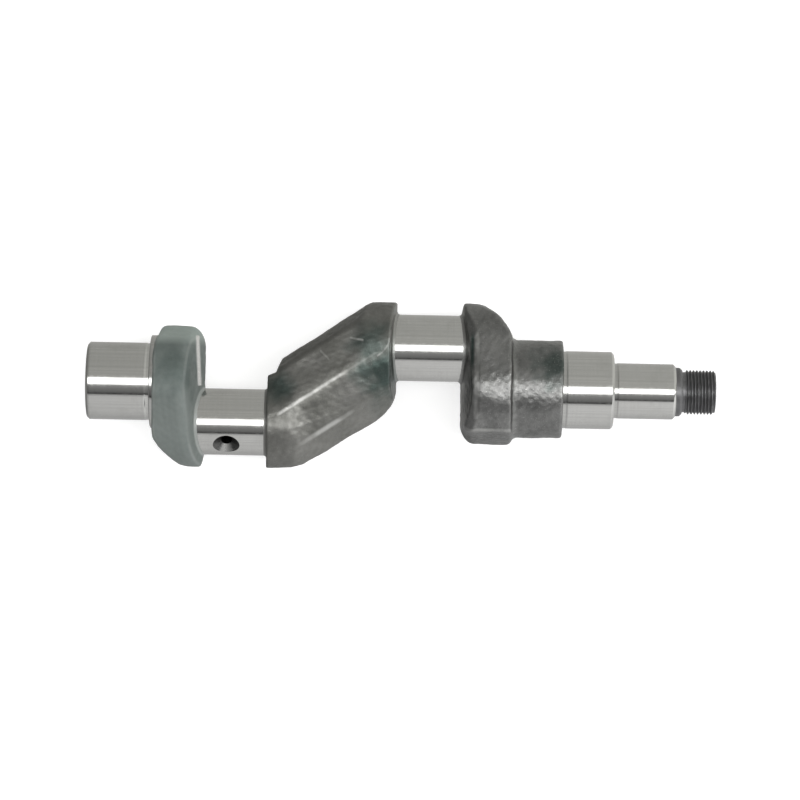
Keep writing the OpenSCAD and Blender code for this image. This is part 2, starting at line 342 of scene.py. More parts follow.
# Where forgings and ground pieces meet.
FILLET = 1.7                # filling of the corners between crankpins and webs
GROUND_GAP = 0.03           # a web's own stub of a crankpin stays this far inside the ground one
STUB_OUT, STUB_IN = 3.4, 8.0  # how far a stub stands out of its web and runs into it
HUB_IN = 14.0               # how far the hub runs into the right web
BORE_GAP, BORE_DEPTH = 2.0, 3.0  # room for the left journal's root in the left web

# Oil galleries.
PLUG_R = 5.0
PLUG_GAP = 0.05
GALLERY_START = 0.27        # gallery 1 starts this share of the web's thickness into the left web


def capsule(y, z, r_a, r_b, height):
    """Distance to a round of r_a about the origin, one of r_b at y = height, and their tangents."""
    z = np.abs(z)
    b = (r_a - r_b) / height
    a = math.sqrt(1 - b * b)
    k = z * -b + y * a
    side = z * a + y * b - r_a
    return np.where(k < 0, np.hypot(y, z) - r_a,
                    np.where(k > a * height, np.hypot(y - height, z) - r_b, side))


def polygon_distance(x, y, points):
    """Signed distance to a closed outline, negative inside."""
    points = np.asarray(points, dtype=float)
    nearest = np.full(x.shape, 1e9)
    inside = np.zeros(x.shape, dtype=bool)
    for (ax, ay), (bx, by) in zip(points, np.roll(points, -1, axis=0)):
        ex, ey = bx - ax, by - ay
        t = np.clip(((x - ax) * ex + (y - ay) * ey) / (ex * ex + ey * ey), 0, 1)
        nearest = np.minimum(nearest, np.hypot(x - ax - t * ex, y - ay - t * ey))
        if ay != by:
            crosses = ((ay > y) != (by > y)) & (x < ex * (y - ay) / ey + ax)
            inside ^= crosses
    return np.where(inside, -nearest, nearest)


def crankpin_stub(p, x_from, x_to, y_axis):
    """The end of a crankpin that a web is forged with, just inside the ground crankpin."""
    x, y, z = p.T
    side = np.hypot(y - y_axis, z) - (PIN_R - GROUND_GAP)
    return smax(side, np.maximum(x_from - x, x - x_to), 0.6)


def inner_face(x, az, low, height, high):
    """An outer web's inner face: one draft up to a height and a larger one above it."""
    lower = (low * az - x) / math.hypot(1, low)
    upper = (low * height + high * (az - height) - x) / math.hypot(1, high)
    return smax(lower, upper, 0.9) if high > low else lower


def heel_depth(x, y):
    """Depth inside the counterweight's lower outline, and how far that outline faces downwards."""
    along, down = HEEL_R - HEEL_STRETCH * x, HEEL_R - COUNTER_R - y
    both = (along > 0) & (down > 0)
    reach = np.hypot(np.maximum(along, 0), np.maximum(down, 0))
    depth = HEEL_R - np.where(both, reach, np.maximum(along, down))
    return depth, np.clip(down / np.maximum(reach, 1e-6), 0, 1)


def outer_web(p, inner, lean_from):
    """An outer web with its inner face at x = 0 and its lobe towards +Y, without its journals."""
    x, y, z = p.T
    az = soft_abs(z, 0.5)
    rim = capsule(y, z, COUNTER_R, LOBE_R, THROW)
    face = inner_face(x, az, *inner[:3])
    band, soft = inner[3:]
    back = x - WEB_T + OUTER_SLOPE * az
    bx, by, br = BEVEL
    bevel = np.hypot(np.maximum(x - bx, 0), np.maximum(y - by, 0)) - br
    slope, width = CROWN_CUT
    crown_cut = (slope * (y - LOBE_TOP) - x + width) / math.hypot(1, slope)
    outer_lean = LEAN_NORMAL[0] * (x - lean_from) + LEAN_NORMAL[1] * (y + LEAN_FROM)
    depth, downwards = heel_depth(x, y)
    lean = downwards * HEEL_DRAFT
    heel = (lean * az - depth) / np.sqrt(1 + lean * lean)
    heel = np.where(y < HEEL_R - COUNTER_R + 2, heel, -HEEL_R)
    body = smax(rim, heel, 0.9)
    body = smax(body, bevel, 1.6)
    body = smax(body, back, 1.3)
    body = smax(body, crown_cut, 0.9)
    body = smax(body, outer_lean, 2.5)
    below_crown = np.clip((LOBE_TOP - 2 - y) / CROWN_FADE, 0, 1)
    width = CROWN_BAND + (band - CROWN_BAND) * below_crown
    chamfer = (rim + face + width) / math.sqrt(2)
    return smax(smax(body, face, 0.8), chamfer, soft)


def left_forging(p):
    """Left web and counterweight, hollowed for the left journal's root."""
    q = np.column_stack([PIN_1 - p[:, 0], -p[:, 1], p[:, 2]])
    web = outer_web(q, LEFT_FACE, LEFT_LEAN)
    web = smin(web, crankpin_stub(q, -STUB_OUT, STUB_IN, THROW), FILLET)
    bore = np.hypot(p[:, 1], p[:, 2]) - MAIN_R + BORE_GAP
    return smax(web, -smax(bore, p[:, 0] - LEFT_WEB - BORE_DEPTH, 0.3), 0.3)


def right_forging(p):
    """Right web and counterweight with the hub, and the mouth of gallery 2."""
    q = p - [RIGHT_WEB, 0, 0]
    r = np.hypot(q[:, 1], q[:, 2])
    hub = smax(r - HUB_R, q[:, 0] - (RIGHT_MAIN - RIGHT_WEB), 1.6)
    hub = smax(hub, HUB - RIGHT_WEB - HUB_IN - q[:, 0], 1.0)
    web = smin(outer_web(q, RIGHT_FACE, RIGHT_LEAN), hub, 3.0)
    web = smin(web, crankpin_stub(q, -STUB_OUT, STUB_IN, THROW), FILLET)
    return smax(web, -plug_mouth(p, 2), 0.7)


def across_arm(x, y):
    """Distance from the arm's crest, positive towards crankpin 2's side."""
    return y * math.cos(ARM_ANGLE) - x * math.sin(ARM_ANGLE) - CREST_SHIFT


def arm_roof(x, y, az):
    """The slanted arm above the parting plane: two roof slopes, a steeper one along each side and
    a cheek cut across its left end."""
    d = across_arm(x, y)
    tilt = math.hypot(1, ARM_SLOPE)
    roof = smax((az + ARM_SLOPE * d - CREST_H) / tilt, (az - ARM_SLOPE * d - CREST_H) / tilt, 0.9)
    out, up = UPPER_NORMAL
    upper = (az - UPPER_BREAK_H) * up + (d - UPPER_BREAK) * out
    out, up = LOWER_NORMAL
    lower = (az - LOWER_BREAK_H) * up + (-d - LOWER_BREAK) * out
    arm = smax(smax(roof, upper, 1.6), lower, 0.9)
    nx, ny, nz = CHEEK_NORMAL
    cheek = nx * (x + CHEEK_FROM) + ny * y + nz * (az - CHEEK_HEIGHT)
    return smax(arm, cheek, 1.6)


def lobe_disc(x, y, z, way):
    """The round of the middle web about one crankpin, fading into the arm."""
    disc = np.hypot(y - way * THROW, z) - LOBE_R
    return smax(disc, (CHEEK_FROM - 4 - way * x) * 0.6, 5.0)


def middle_plan():
    """Outline of the middle web from above, from lobe 2's crown to lobe 1's heel and back."""
    lobe_2 = [(HALF, LOBE_TOP), (HALF - 12, LOBE_TOP - 0.4), (HALF - 15, LOBE_TOP - 1.7)]
    cheek = [(10 - HALF, 13.6), (6.8 - HALF, 11.6), (5 - HALF, 8.2), (4 - HALF, 5.4), (-HALF, 3.6)]
    lobe_1 = [(-HALF, -LOBE_TOP), (11.5 - HALF, 0.5 - LOBE_TOP), (17 - HALF, 2.0 - LOBE_TOP)]
    heel = [(HALF - 9.6, -15.6), (HALF - 5.8, -12.6), (HALF - 3.3, -9.4), (HALF - 1.8, -6.2),
            (HALF, -1.6)]
    return lobe_2 + cheek + lobe_1 + heel


def middle_forging(p):
    """The slanted middle web with its two lobes, and the mouth of gallery 1."""
    q = p - [CENTRE, 0, 0]
    x, y, z = q.T
    az = soft_abs(z, 0.5)
    plan = polygon_distance(x, y, middle_plan())
    lobes = np.hypot(np.maximum(np.abs(y) - THROW, 0), z) - LOBE_R
    slope = np.where(x < 0, *END_SLOPES)
    ends = (np.abs(x) - HALF + END_DRESSED * (x > 0) + slope * az) / np.hypot(1, slope)
    body = smin(arm_roof(x, y, az), lobe_disc(x, y, z, 1), 3.5)
    body = smin(body, lobe_disc(x, y, z, -1), 3.5)
    body = smax(body, lobes, 0.8)
    body = smax(body, plan, 1.0)
    body = smax(body, ends, 0.9)
    body = smin(body, crankpin_stub(q, -HALF - STUB_OUT, -HALF + STUB_IN, -THROW), FILLET)
    body = smin(body, crankpin_stub(q, HALF - STUB_IN, HALF + STUB_OUT, THROW), FILLET)
    return smax(body, -plug_mouth(p, 1), 0.7)


def gallery_ends(number):
    """Where a drilled gallery starts and the middle of the crankpin that it passes through."""
    if number == 1:
        return (np.array([LEFT_WEB + GALLERY_START * WEB_T, 0, 0]),
                np.array([(PIN_1 + MIDDLE) / 2, -THROW, 0]))
    return np.array([CENTRE, 0, 0]), np.array([(PIN_2 + RIGHT_WEB) / 2, THROW, 0])


def plug_length(number):
    """Length of a plug along its gallery, from its box and its diameter."""
    low, high = span("gallery_plug_%d" % number)
    start, pin = gallery_ends(number)
    angle = math.atan(THROW / (pin[0] - start[0]))
    return (high[0] - low[0] - 2 * PLUG_R * math.sin(angle)) / math.cos(angle)


PLUG_LENGTH = {1: plug_length(1), 2: plug_length(2)}


def gallery(number):
    """Start, direction and outer end of the plug of one of the two drilled galleries."""
    start, pin = gallery_ends(number)
    aim = (pin - start) / np.linalg.norm(pin - start)
    plug = middle_of("gallery_plug_%d" % number)
    return start, aim, (plug - start) @ aim + PLUG_LENGTH[number] / 2


def plug_mouth(p, number):
    """The round mouth of a gallery, which its plug sits in."""
    start, aim, end = gallery(number)
    along = (p - start) @ aim
    off = np.linalg.norm(p - start - along[:, None] * aim, axis=1)
    return np.maximum(off - PLUG_R - PLUG_GAP, end - 1.5 - along)


# ---------------------------------------- marks, painted highlights and painted shade on the forging's skin

def near(value, width):
    """1 on a line and 0 at width from it, with soft sides."""
    return np.clip(1.4 * (1 - np.abs(value) / width), 0, 1)


def scratch(x, y, start, end, width=0.8):
    """1 along a straight scratch between two points, as the camera sees it, and 0 beside it."""
    (ax, ay), (bx, by) = start, end
    length = math.hypot(bx - ax, by - ay)
    t = np.clip(((x - ax) * (bx - ax) + (y - ay) * (by - ay)) / length ** 2, 0, 1)
    return near(np.hypot(x - ax - t * (bx - ax), y - ay - t * (by - ay)), width)


def middle_highlights_and_nicks(p):
    """Painted highlights along the middle web's crest, which turns up at its right end, and along the
    break in its lower slope, with two bright nicks."""
    x, y = p[:, 0] - CENTRE, p[:, 1]
    d = across_arm(x, y)
    fade = np.clip((20 - x) / 44, 0.25, 1)
    # The crest, its turn and the lower break are painted highlights; the nicks are real marks.
    crest = near(d, 1.2) * fade * np.clip((x + 25) / 2, 0, 1) * (y < 15)
    turn = 0.35 * near(np.hypot(x - 13.5, y - 24) - 12.4, 0.7) * (x > 20) * (y < 25)
    edge = 0.6 * near(d + LOWER_BREAK + 0.2, 1.6) * near(x + 2, 15)
    nicks = np.maximum(scratch(x, y, (7.9, 21.3), (13.2, 20.3)),
                       0.5 * scratch(x, y, (-5.3, 15.1), (-1.6, 11.4)))
    return np.maximum.reduce([crest, turn, edge, 0.7 * nicks]) * (p[:, 2] > 0)


def right_highlight_and_edge_line(p):
    """Bright marks of the right web: a bright line on the edge where the counterweight's lower side
    begins, and a painted highlight as a stripe along the band beside its inner face."""
    x, y = p[:, 0] - RIGHT_WEB, p[:, 1]
    depth, downwards = heel_depth(x, y)
    line = 0.9 * near(depth - 6.8 * downwards, 1.1) * (downwards > 0.05) * (x > 1.5)
    # Painted highlight: a light stripe along the band beside the inner face.
    stripe = 0.95 * near(x - 6.9, 1.5) * np.clip((26 - y) / 4, 0, 1) * (y > -14)
    return np.maximum(line, stripe) * (x < WEB_T - 1) * (p[:, 2] > 0)


def right_crevice_shade(p):
    """Painted shade: a dark line beside the right web's bright stripe, where the face lies in shadow.
    """
    x, y = p[:, 0] - RIGHT_WEB, p[:, 1]
    ends = np.clip((25 - y) / 3, 0, 1) * np.clip((y - 7) / 5, 0, 1)
    return near(x - 4.9, 1.1) * ends * (p[:, 2] > 0)


def left_strip(p):
    """Milled strip on the left web's inner face."""
    x, y = PIN_1 - p[:, 0], p[:, 1]
    middle = 2.2 + 0.055 * y
    return near(x - middle, 0.95) * (y > -1.5) * (y < 21) * (p[:, 2] > 0) * (x > 0.6)


def beside_pins(verts, width):
    """Distance of points outside the crankpins' surface, large away from the crankpins' ends."""
    outside = np.full(len(verts), 1e3)
    for x_low, x_high, y_axis in ((PIN_1, MIDDLE, -THROW), (PIN_2, RIGHT_WEB, THROW)):
        off = np.hypot(verts[:, 1] - y_axis, verts[:, 2]) - PIN_R
        inside = (verts[:, 0] > x_low - width) & (verts[:, 0] < x_high + width)
        outside = np.where(inside, np.minimum(outside, off), outside)
    return outside


def rough_surface(field, low, high, seed):
    """Corners and faces of a field's zero surface with an uneven skin, calm beside crankpins."""
    verts, quads = surface_net(field, low, high, 0.5)
    verts = settle(verts, field, 2)
    swell = Waves(seed, 14.0, 0.10)
    skin = Waves(seed + 1, 3.2, 0.030)

    def rough_field(p):
        calm = np.clip((beside_pins(p, 4) - 0.4) / 2, 0, 1)
        return field(p) + (swell(p) + skin(p)) * calm

    return settle(verts, rough_field, 2), quads


def convexity(field, verts, reach=0.7):
    """How sharply a field's surface bends outwards at each corner, measured over a short reach."""
    here = field(verts)
    steps = np.eye(3) * reach
    return sum(field(verts + d) + field(verts - d) - 2 * here for d in steps) / (reach * reach)


def forged_piece(name, field, low, high, material, seed, nodes, clip, green=(), highlights_and_rubs=None,
                 strip=None, painted_top_light=None, worn=1.0, crevice_shade=None):
    """A closed forged body round the zero surface of a field, with worn edges, painted highlights,
    painted shade and a rough skin.
    """
    verts, quads = rough_surface(field, low, high, seed)
    edges = convexity(field, verts)
    verts = np.clip(verts, *clip)
    piece = new_object(name, verts, quads, [material], 180.0)
    order = nearest_order(piece, verts)
    ragged = 0.5 + 0.5 * np.tanh(Waves(seed + 2, 9.0, 1.3)(verts))
    wear_and_highlight = 0.5 * worn * np.clip((edges - 0.08) / 0.45, 0, 1)
    if highlights_and_rubs:
        wear_and_highlight = np.maximum(wear_and_highlight, highlights_and_rubs(verts))
    bright = ground_mask(verts)
    if strip:
        bright = np.maximum(bright, strip(verts))
    stain_and_shade = blotches(verts, green, seed)
    if crevice_shade:
        stain_and_shade = np.maximum(stain_and_shade, crevice_shade(verts))
    light = painted_top_light(verts) if painted_top_light else np.zeros(len(verts))
    # These numbers carry worn edges with painted highlights, green stains with painted crevice shade,
    # and a painted reflection along a top.
    paint(piece, "wear_and_highlight", (wear_and_highlight * (0.6 + 0.4 * ragged))[order])
    paint(piece, "green", stain_and_shade[order])
    paint(piece, "ground", bright[order])
    paint(piece, "painted_top_light", light[order])
    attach(piece, "root")
    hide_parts(*nodes)
    return piece


def nearest_order(piece, verts):
    """For each corner of the finished mesh, the index of the corner it was made from."""
    tree = KDTree(len(verts))
    for i, v in enumerate(verts):
        tree.insert(v, i)
    tree.balance()
    return np.array([tree.find(v)[1] for v in corners_mm(piece)])


def blotches(verts, places, seed):
    """Soft ragged patches of colour, each round a place (x, y) with a radius and a strength."""
    value = np.zeros(len(verts))
    rough = Waves(seed + 5, 7.0, 0.5)(verts)
    for x, y, radius, strength in places:
        away = np.hypot(verts[:, 0] - x, verts[:, 1] - y) / radius
        value = np.maximum(value, strength * np.clip(1.35 - away + 0.25 * rough, 0, 1))
    return value


def ground_mask(verts):
    """1 where a grinding wheel has touched the forging: the fillets beside the journals."""
    return 0.3 * np.clip((0.9 - beside_pins(verts, 9)) / 0.4, 0, 1)


def left_painted_top_light(p):
    """Painted reflection: lighter colour along the top of the left counterweight, where its top edge
    catches the light.
    """
    return np.clip((p[:, 1] - 16.5) / 4.0, 0, 1)


# ---------------------------------------- materials

class Nodes:
    """Short calls for building a material's node tree."""

    def __init__(self, name):
        self.material = bpy.data.materials.new(name)
        self.material.use_nodes = True
        self.tree = self.material.node_tree
        self.shader = self.tree.nodes["Principled BSDF"]
        self.place = self.tree.nodes.new("ShaderNodeTexCoord").outputs["Object"]

    def node(self, kind, inputs=None, **settings):
        """A new node, with a number or another node's output on each input."""
        made = self.tree.nodes.new(kind)
        for key, value in settings.items():
            setattr(made, key, value)
        for key, value in (inputs or {}).items():
            self.feed(made.inputs[key], value)
        return made

    def feed(self, socket, value):
        if isinstance(value, bpy.types.NodeSocket):
            self.tree.links.new(value, socket)
        else:
            socket.default_value = value

    def noise(self, scale, detail=4.0, roughness=0.55, stretch=(1, 1, 1)):
        """Noise whose grains are about 1/scale metres wide; stretch squeezes it along each axis."""
        vector = self.node("ShaderNodeVectorMath", {0: self.place, 1: stretch},
                           operation="MULTIPLY").outputs[0]
        return self.node("ShaderNodeTexNoise", {"Vector": vector, "Scale": scale, "Detail": detail,
                                                "Roughness": roughness}).outputs["Fac"]

    def ramp(self, value, low, high, out_low=0.0, out_high=1.0):
        """Maps low..high to out_low..out_high and holds the ends."""
        return self.node("ShaderNodeMapRange", {0: value, 1: low, 2: high, 3: out_low, 4: out_high},
                         clamp=True).outputs[0]

    def mix(self, factor, a, b):
        made = self.node("ShaderNodeMix", data_type="RGBA")
        self.feed(made.inputs[0], factor)
        self.feed(made.inputs[6], a)
        self.feed(made.inputs[7], b)
        return made.outputs[2]

    def math(self, operation, a, b=0.0):
        return self.node("ShaderNodeMath", {0: a, 1: b}, operation=operation).outputs[0]

    def painted(self, name):
        """A number that paint() stored on the piece's corners."""
        return self.node("ShaderNodeAttribute", attribute_name=name).outputs["Fac"]

    def bump(self, height, strength, distance, normal=None):
        made = self.node("ShaderNodeBump", {"Height": height, "Strength": strength,
                                            "Distance": distance})
        if normal:
            self.feed(made.inputs["Normal"], normal)
        return made.outputs[0]


# These green-grey colours draw the stains and also the painted shade of the right web's crevice.
SCALE_DARK, SCALE_LIGHT = (0.034, 0.051, 0.046, 1), (0.052, 0.076, 0.069, 1)  # green-grey stains
# Colour of the painted reflection along the top of the left counterweight.
PAINTED_TOP_LIGHT_COLOUR = (0.235, 0.275, 0.255, 1)
BARE_STEEL = (0.50, 0.50, 0.485, 1)
BARE_ROUGH = 0.27


def forged_steel(name, dark, light, rough, metal, uneven=1.0, sparkle=1.0, wear_and_highlight=0.5):
    """Forging scale: mottled grey, fine shot-blast pits, scattered bright specks, worn edges and
    painted highlights. The painted numbers say where it is worn and where highlights are painted,
    where it is stained green and where shade is painted, where it is ground bright, and where a
    painted reflection lightens it."""
    n = Nodes(name)
    broad = n.ramp(n.noise(60, 3), 0.30, 0.70)
    mottle = n.ramp(n.noise(420, 6, 0.62), 0.30, 0.72)
    grain = n.noise(1900, 5, 0.65)
    pits = n.node("ShaderNodeTexVoronoi", {"Vector": n.place, "Scale": 900.0},
                  feature="F1").outputs["Distance"]
    patchy = n.math("ADD", n.math("MULTIPLY", broad, 0.55), n.math("MULTIPLY", mottle, 0.45))
    even = 0.5 * (1 - uneven)
    colour = n.mix(n.ramp(patchy, 0, 1, even, 1 - even), dark, light)
    tinted = n.mix(mottle, SCALE_DARK, SCALE_LIGHT)
    # The green numbers bring green stains and the painted shade of the right web's crevice.
    colour = n.mix(n.math("MULTIPLY", n.painted("green"), 0.9), colour, tinted)
    # Painted reflection: a lighter colour along the top of the left counterweight.
    colour = n.mix(n.painted("painted_top_light"), colour, PAINTED_TOP_LIGHT_COLOUR)
    speck = n.ramp(n.noise(2600, 2, 0.5), 0.66, 0.76, 0, sparkle)
    # Worn edges and painted highlight lines both take the bare steel colour.
    lightened = n.ramp(n.painted("wear_and_highlight"), 0.1, 0.9, 0, wear_and_highlight)
    bare_and_highlit = n.math("MAXIMUM", lightened, speck)
    colour = n.mix(bare_and_highlit, colour, BARE_STEEL)
    colour = n.mix(n.painted("ground"), colour, BARE_STEEL)
    n.feed(n.shader.inputs["Base Color"], colour)
    n.shader.inputs["Metallic"].default_value = metal
    scale_rough = n.ramp(mottle, 0, 1, rough + 0.06, rough - 0.06)
    worn = n.math("MAXIMUM", bare_and_highlit, n.painted("ground"))
    n.feed(n.shader.inputs["Roughness"], n.mix(worn, scale_rough, (BARE_ROUGH,) * 3 + (1,)))
    bump = n.bump(mottle, 0.35 * uneven, 0.00016)
    bump = n.bump(grain, 0.45 * uneven, 0.00010, bump)
    bump = n.bump(n.ramp(pits, 0.05, 0.45), 0.22 * uneven, 0.00012, bump)
    n.feed(n.shader.inputs["Normal"], bump)
    return n.material


def ground_steel():
    """Ground journal steel: bright metal with fine lines round the axis and faint handling marks."""
    n = Nodes("ground_steel")
    lines = n.noise(1.0, 3, 0.6, (5200, 60, 60))
    bands = n.noise(1.0, 2, 0.5, (420, 8, 8))
    stains = n.ramp(n.noise(70, 5, 0.6), 0.50, 0.72)
    colour = n.mix(n.ramp(lines, 0.3, 0.7), (0.47, 0.47, 0.455, 1), (0.50, 0.50, 0.485, 1))
    colour = n.mix(n.math("MULTIPLY", stains, 0.30), colour, (0.34, 0.34, 0.32, 1))
    n.feed(n.shader.inputs["Base Color"], colour)
    n.shader.inputs["Metallic"].default_value = 1.0
    rough = n.math("ADD", n.ramp(bands, 0.3, 0.7, 0.10, 0.15), n.math("MULTIPLY", stains, 0.06))
    n.feed(n.shader.inputs["Roughness"], rough)
    n.feed(n.shader.inputs["Normal"], n.bump(lines, 0.06, 0.00002))
    return n.material


def shaded_drilled_steel():
    """Inside of a drilled hole: a dark colour as painted shade, with coarse drill marks."""
    n = Nodes("shaded_drilled_steel")
    marks = n.noise(1500, 3)
    # Painted shade: the dark colour stands for the shadow inside holes and the keyway.
    n.feed(n.shader.inputs["Base Color"], n.mix(marks, (0.03, 0.03, 0.03, 1), (0.16, 0.16, 0.155, 1)))
    n.shader.inputs["Metallic"].default_value = 1.0
    n.feed(n.shader.inputs["Roughness"], n.ramp(marks, 0.3, 0.7, 0.24, 0.42))
    n.feed(n.shader.inputs["Normal"], n.bump(marks, 0.3, 0.00008))
    return n.material


def blackened_steel():
    """Black-oxided thread and neck: dark satin with lighter rubbed crests."""
    n = Nodes("blackened_steel")
    cloud = n.noise(260, 5, 0.6)
    lightened = n.ramp(n.noise(1.0, 4, 0.65, (900, 260, 260)), 0.56, 0.74)
    colour = n.mix(cloud, (0.100, 0.100, 0.102, 1), (0.180, 0.180, 0.183, 1))
    colour = n.mix(n.math("MULTIPLY", lightened, 0.45), colour, (0.32, 0.32, 0.32, 1))
    n.feed(n.shader.inputs["Base Color"], colour)
    n.shader.inputs["Metallic"].default_value = 0.85
    n.feed(n.shader.inputs["Roughness"], n.ramp(cloud, 0.3, 0.7, 0.34, 0.46))
    n.feed(n.shader.inputs["Normal"], n.bump(cloud, 0.15, 0.00005))
    return n.material


def plug_steel():
    """Phosphated screw plug: matt dark grey with a fine grain."""
    n = Nodes("plug_steel")
    grain = n.noise(2200, 4)
    n.feed(n.shader.inputs["Base Color"], n.mix(grain, (0.09, 0.09, 0.085, 1), (0.20, 0.20, 0.19, 1)))
    n.shader.inputs["Metallic"].default_value = 0.8
    n.feed(n.shader.inputs["Roughness"], n.ramp(grain, 0.3, 0.7, 0.40, 0.55))
    n.feed(n.shader.inputs["Normal"], n.bump(grain, 0.2, 0.00005))
    return n.material


# ---------------------------------------- ground and turned pieces

def turned_piece(name, profile, material, nodes, y_axis=0.0, segments=192, closed=False,
                 radial=None, sharp=25.0):
    """A piece turned from a profile of [x, radius] points."""
    verts, faces = lathe(profile, y_axis, segments, closed, radial)
    piece = new_object(name, verts, faces, [material], sharp)
    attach(piece, "root")
    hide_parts(*nodes)
    return piece


EDGE = 1.0               # chamfer on the journals' ends
EDGE_BREAK = 0.04        # how far a chamfer's own edges are broken
UNDERCUT = 0.16          # depth of the grinding relief at a shoulder
UNDERCUT_W = 2.0
RING_STEP = 3.0          # distance between the rings of a long journal


def chamfered_end(x, r, x_way, size=EDGE):
    """Profile points of a chamfered end with its two edges just broken."""
    points = [(x - x_way * (size + 0.12), r), (x - x_way * size, r - EDGE_BREAK),
              (x - x_way * 0.08, r - size + EDGE_BREAK), (x, r - size - 0.06)]
    return points if x_way > 0 else points[::-1]


def relief(x, r, x_way=1):
    """Profile points of the undercut beside a shoulder at x; x_way points away from the shoulder."""
    points = [(x, r - UNDERCUT), (x + x_way * (UNDERCUT_W - 0.7), r - UNDERCUT),
              (x + x_way * (UNDERCUT_W - 0.25), r - 0.6 * UNDERCUT), (x + x_way * UNDERCUT_W, r)]
    return points if x_way > 0 else points[::-1]


def left_journal(steel):
    """Left main journal with the bore that feeds the oil galleries."""
    feed_r, quill_r, mouth_r = 4.0, 6.0, 7.15
    quill_end, root = LEFT_END + 10, SHOULDER + 6
    mouth = mouth_r - quill_r
    profile = [(SHOULDER + 4, 0), (SHOULDER + 4, feed_r), (quill_end, feed_r),
               (quill_end, quill_r), (LEFT_END + mouth + 0.1, quill_r),
               (LEFT_END + mouth, quill_r + 0.05), (LEFT_END + 0.05, mouth_r),
               (LEFT_END, mouth_r + 0.15)]
    profile += chamfered_end(LEFT_END, MAIN_R, -1)
    profile += run(LEFT_END + 2, SHOULDER - UNDERCUT_W - 0.5, MAIN_R, RING_STEP)
    profile += relief(SHOULDER, MAIN_R, -1)
    profile += [(root, MAIN_R - UNDERCUT), (root, 0)]
    return turned_piece("left_main_journal_ground", profile, steel,
                        ["left_main_journal"])


def thrust_collar(steel):
    """Thin ground collar between the left journal and its web, with a broken edge."""
    inner = MAIN_R - UNDERCUT - 0.1
    profile = [(SHOULDER, inner), (SHOULDER, COLLAR_R - 0.35), (SHOULDER + 0.05, COLLAR_R - 0.25),
               (SHOULDER + 0.28, COLLAR_R - 0.03), (SHOULDER + 0.38, COLLAR_R),
               (SHOULDER + 3, COLLAR_R), (SHOULDER + 3, inner)]
    return turned_piece("left_collar_ground", profile, steel,
                        ["left_thrust_collar"], closed=True)


def crankpin(name, node, x_low, x_high, y_axis, hole_x, lead, steel, drilled):
    """A ground crankpin, run into the webs on both sides, with its countersunk oil hole."""
    bury = STUB_IN
    profile = [(x_low - bury, 0)] + run(x_low - bury, x_high + bury, PIN_R, 2.0)
    profile += [(x_high + bury, 0)]
    piece = turned_piece(name, profile, steel, [node], y_axis)
    mouth_r, hole_r, broken = 6.0, 2.5, 0.25
    clear = 1.0
    tool = [(0, 0), (0, hole_r), (PIN_R - mouth_r + hole_r, hole_r), (PIN_R, mouth_r),
            (PIN_R + clear, mouth_r + clear + broken), (PIN_R + clear, 0)]
    verts, faces = lathe(tool, segments=64)
    turn = Matrix.Rotation(lead, 3, "X") @ Matrix.Rotation(-math.pi / 2, 3, "Y")
    verts = np.array([turn @ Vector(v) for v in verts]) + [hole_x, y_axis, 0]
    cut(piece, verts, faces, drilled)
    return piece


def right_journal(steel):
    """Right main journal, rooted in the hub."""
    root = RIGHT_MAIN - 6
    profile = [(root, 0), (root, MAIN_R - UNDERCUT)]
    profile += relief(RIGHT_MAIN, MAIN_R)
    profile += run(RIGHT_MAIN + UNDERCUT_W + 0.4, SEAT - EDGE - 0.5, MAIN_R, RING_STEP)
    profile += chamfered_end(SEAT, MAIN_R, 1)
    profile += [(SEAT, 0)]
    return turned_piece("right_main_journal_ground", profile, steel,
                        ["right_main_journal"])


def drive_seat(steel, milled):
    """The drive seat with its disc-milled keyway on the underside."""
    root = SEAT - 3
    profile = [(root, 0), (root, SEAT_R - UNDERCUT)] + relief(SEAT, SEAT_R)
    profile += run(SEAT + UNDERCUT_W + 0.4, NECK - EDGE - 0.5, SEAT_R, RING_STEP)
    profile += chamfered_end(NECK, SEAT_R, 1) + [(NECK, 0)]
    piece = turned_piece("drive_seat_ground", profile, steel, ["drive_seat"])
    disc_r, width, depth = 11.0, 6.0, 6.5
    tool = [(-width / 2, 0), (-width / 2, disc_r), (width / 2, disc_r), (width / 2, 0)]
    verts, faces = lathe(tool, segments=128)
    verts = np.column_stack([verts[:, 1], verts[:, 0], verts[:, 2]])
    verts = verts + [(SEAT + NECK) / 2, 0, -(SEAT_R - depth + disc_r)]
    cut(piece, verts, faces, milled)
    return piece


def neck(black):
    """Plain neck between the drive seat and the thread."""
    root = NECK - 3
    profile = [(root, 0), (root, NECK_R), (THREAD - EDGE - 0.1, NECK_R),
               (THREAD - EDGE, NECK_R - 0.05), (THREAD, NECK_R - EDGE), (THREAD, 0)]
    return turned_piece("thread_neck_turned", profile, black, ["thread_neck"])


